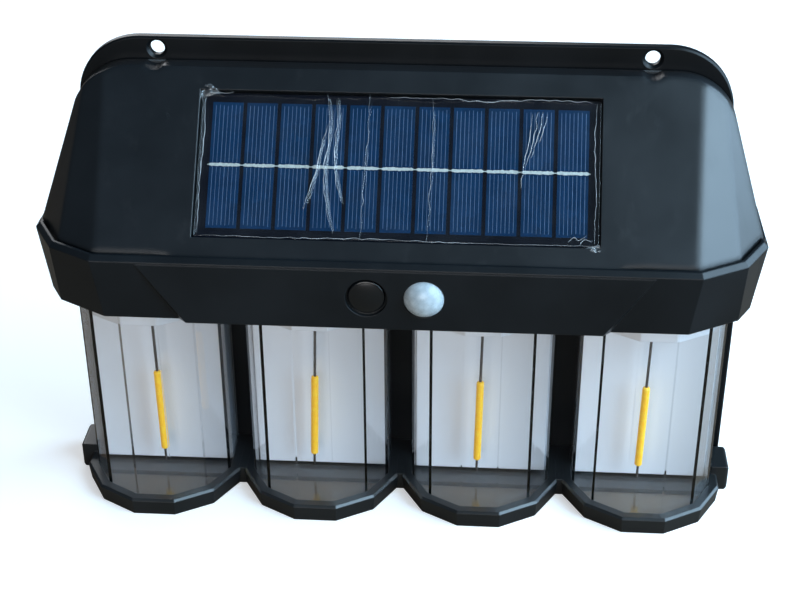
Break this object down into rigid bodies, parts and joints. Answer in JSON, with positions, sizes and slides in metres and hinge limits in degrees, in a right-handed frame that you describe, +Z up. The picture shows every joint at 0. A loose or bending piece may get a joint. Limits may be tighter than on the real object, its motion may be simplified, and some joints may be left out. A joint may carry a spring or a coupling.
{
  "type": "solar wall lantern",
  "caption": "Solar wall light: sloped panel head with push button and motion sensor over a row of clear faceted filament lamps on a lobed tray.",
  "frame": {"origin": "midway between the two wall screw holes, on the wall plane", "axes": "+X to the viewer's right along the row of lamps, +Y into the wall, +Z up"},
  "size_m": [0.207, 0.0507, 0.1425],
  "materials": {
    "black_shell": "fine satin texture, black",
    "black_tray": "fine satin texture, black",
    "black_inner": "plain moulded, black",
    "black_gloss": "polished, black",
    "clear_shade": "clear moulded plastic",
    "white_insert": "semi-gloss white",
    "filament_yellow": "silicone phosphor coating",
    "lead_wire": "plated wire",
    "solar_blue": "textured silicon",
    "tabbing": "tinned ribbon",
    "panel_black": "solder mask, near black",
    "clear_resin": "clear resin",
    "clear_film": "thin clear film",
    "pearl_lens": "translucent pearl polyethylene",
    "sensor_can": "plated can",
    "board_green": "solder mask, green",
    "part_black": "moulded component body",
    "cell_sleeve": "shrink sleeve, blue",
    "nickel": "nickel plate",
    "steel_screw": "zinc plated",
    "wire_red": "wire insulation, red",
    "seal": "foam seal"
  },
  "bodies": {
    "housing": {"back_plate": "black_shell", "base_screws": "steel_screw", "base_tray": "black_tray", "battery_cell": "cell_sleeve", "battery_contacts": "nickel", "battery_holder": "black_inner", "battery_spring": "nickel", "battery_wires": "wire_red", "board_components": "part_black", "board_screws": "steel_screw", "cell_tabbing": "tabbing", "control_board": "board_green", "fascia_housing": "black_shell", "filament_1": "filament_yellow", "filament_2": "filament_yellow", "filament_3": "filament_yellow", "filament_4": "filament_yellow", "filament_leads": "lead_wire", "filament_sockets": "part_black", "head_cover": "black_shell", "head_gasket": "seal", "housing_screws": "steel_screw", "lamp_deck": "black_inner", "lamp_insert_1": "white_insert", "lamp_insert_2": "white_insert", "lamp_insert_3": "white_insert", "lamp_insert_4": "white_insert", "lamp_shade_1": "clear_shade", "lamp_shade_2": "clear_shade", "lamp_shade_3": "clear_shade", "lamp_shade_4": "clear_shade", "lamp_wires": "wire_red", "motion_sensor": "sensor_can", "panel_film": "clear_film", "panel_resin": "clear_resin", "panel_wires": "wire_red", "sensor_lens": "pearl_lens", "solar_board": "panel_black", "solar_cells": "solar_blue", "switch_body": "part_black"},
    "button": {"push_button": "black_gloss", "switch_plunger": "part_black"}
  },
  "joints": [
    {"name": "button_press", "type": "slide", "parent": "housing", "child": "button", "axis": [0, 1, 0], "range_m": [0, 0.0012], "stiffness_N_per_m": 800}
  ]
}
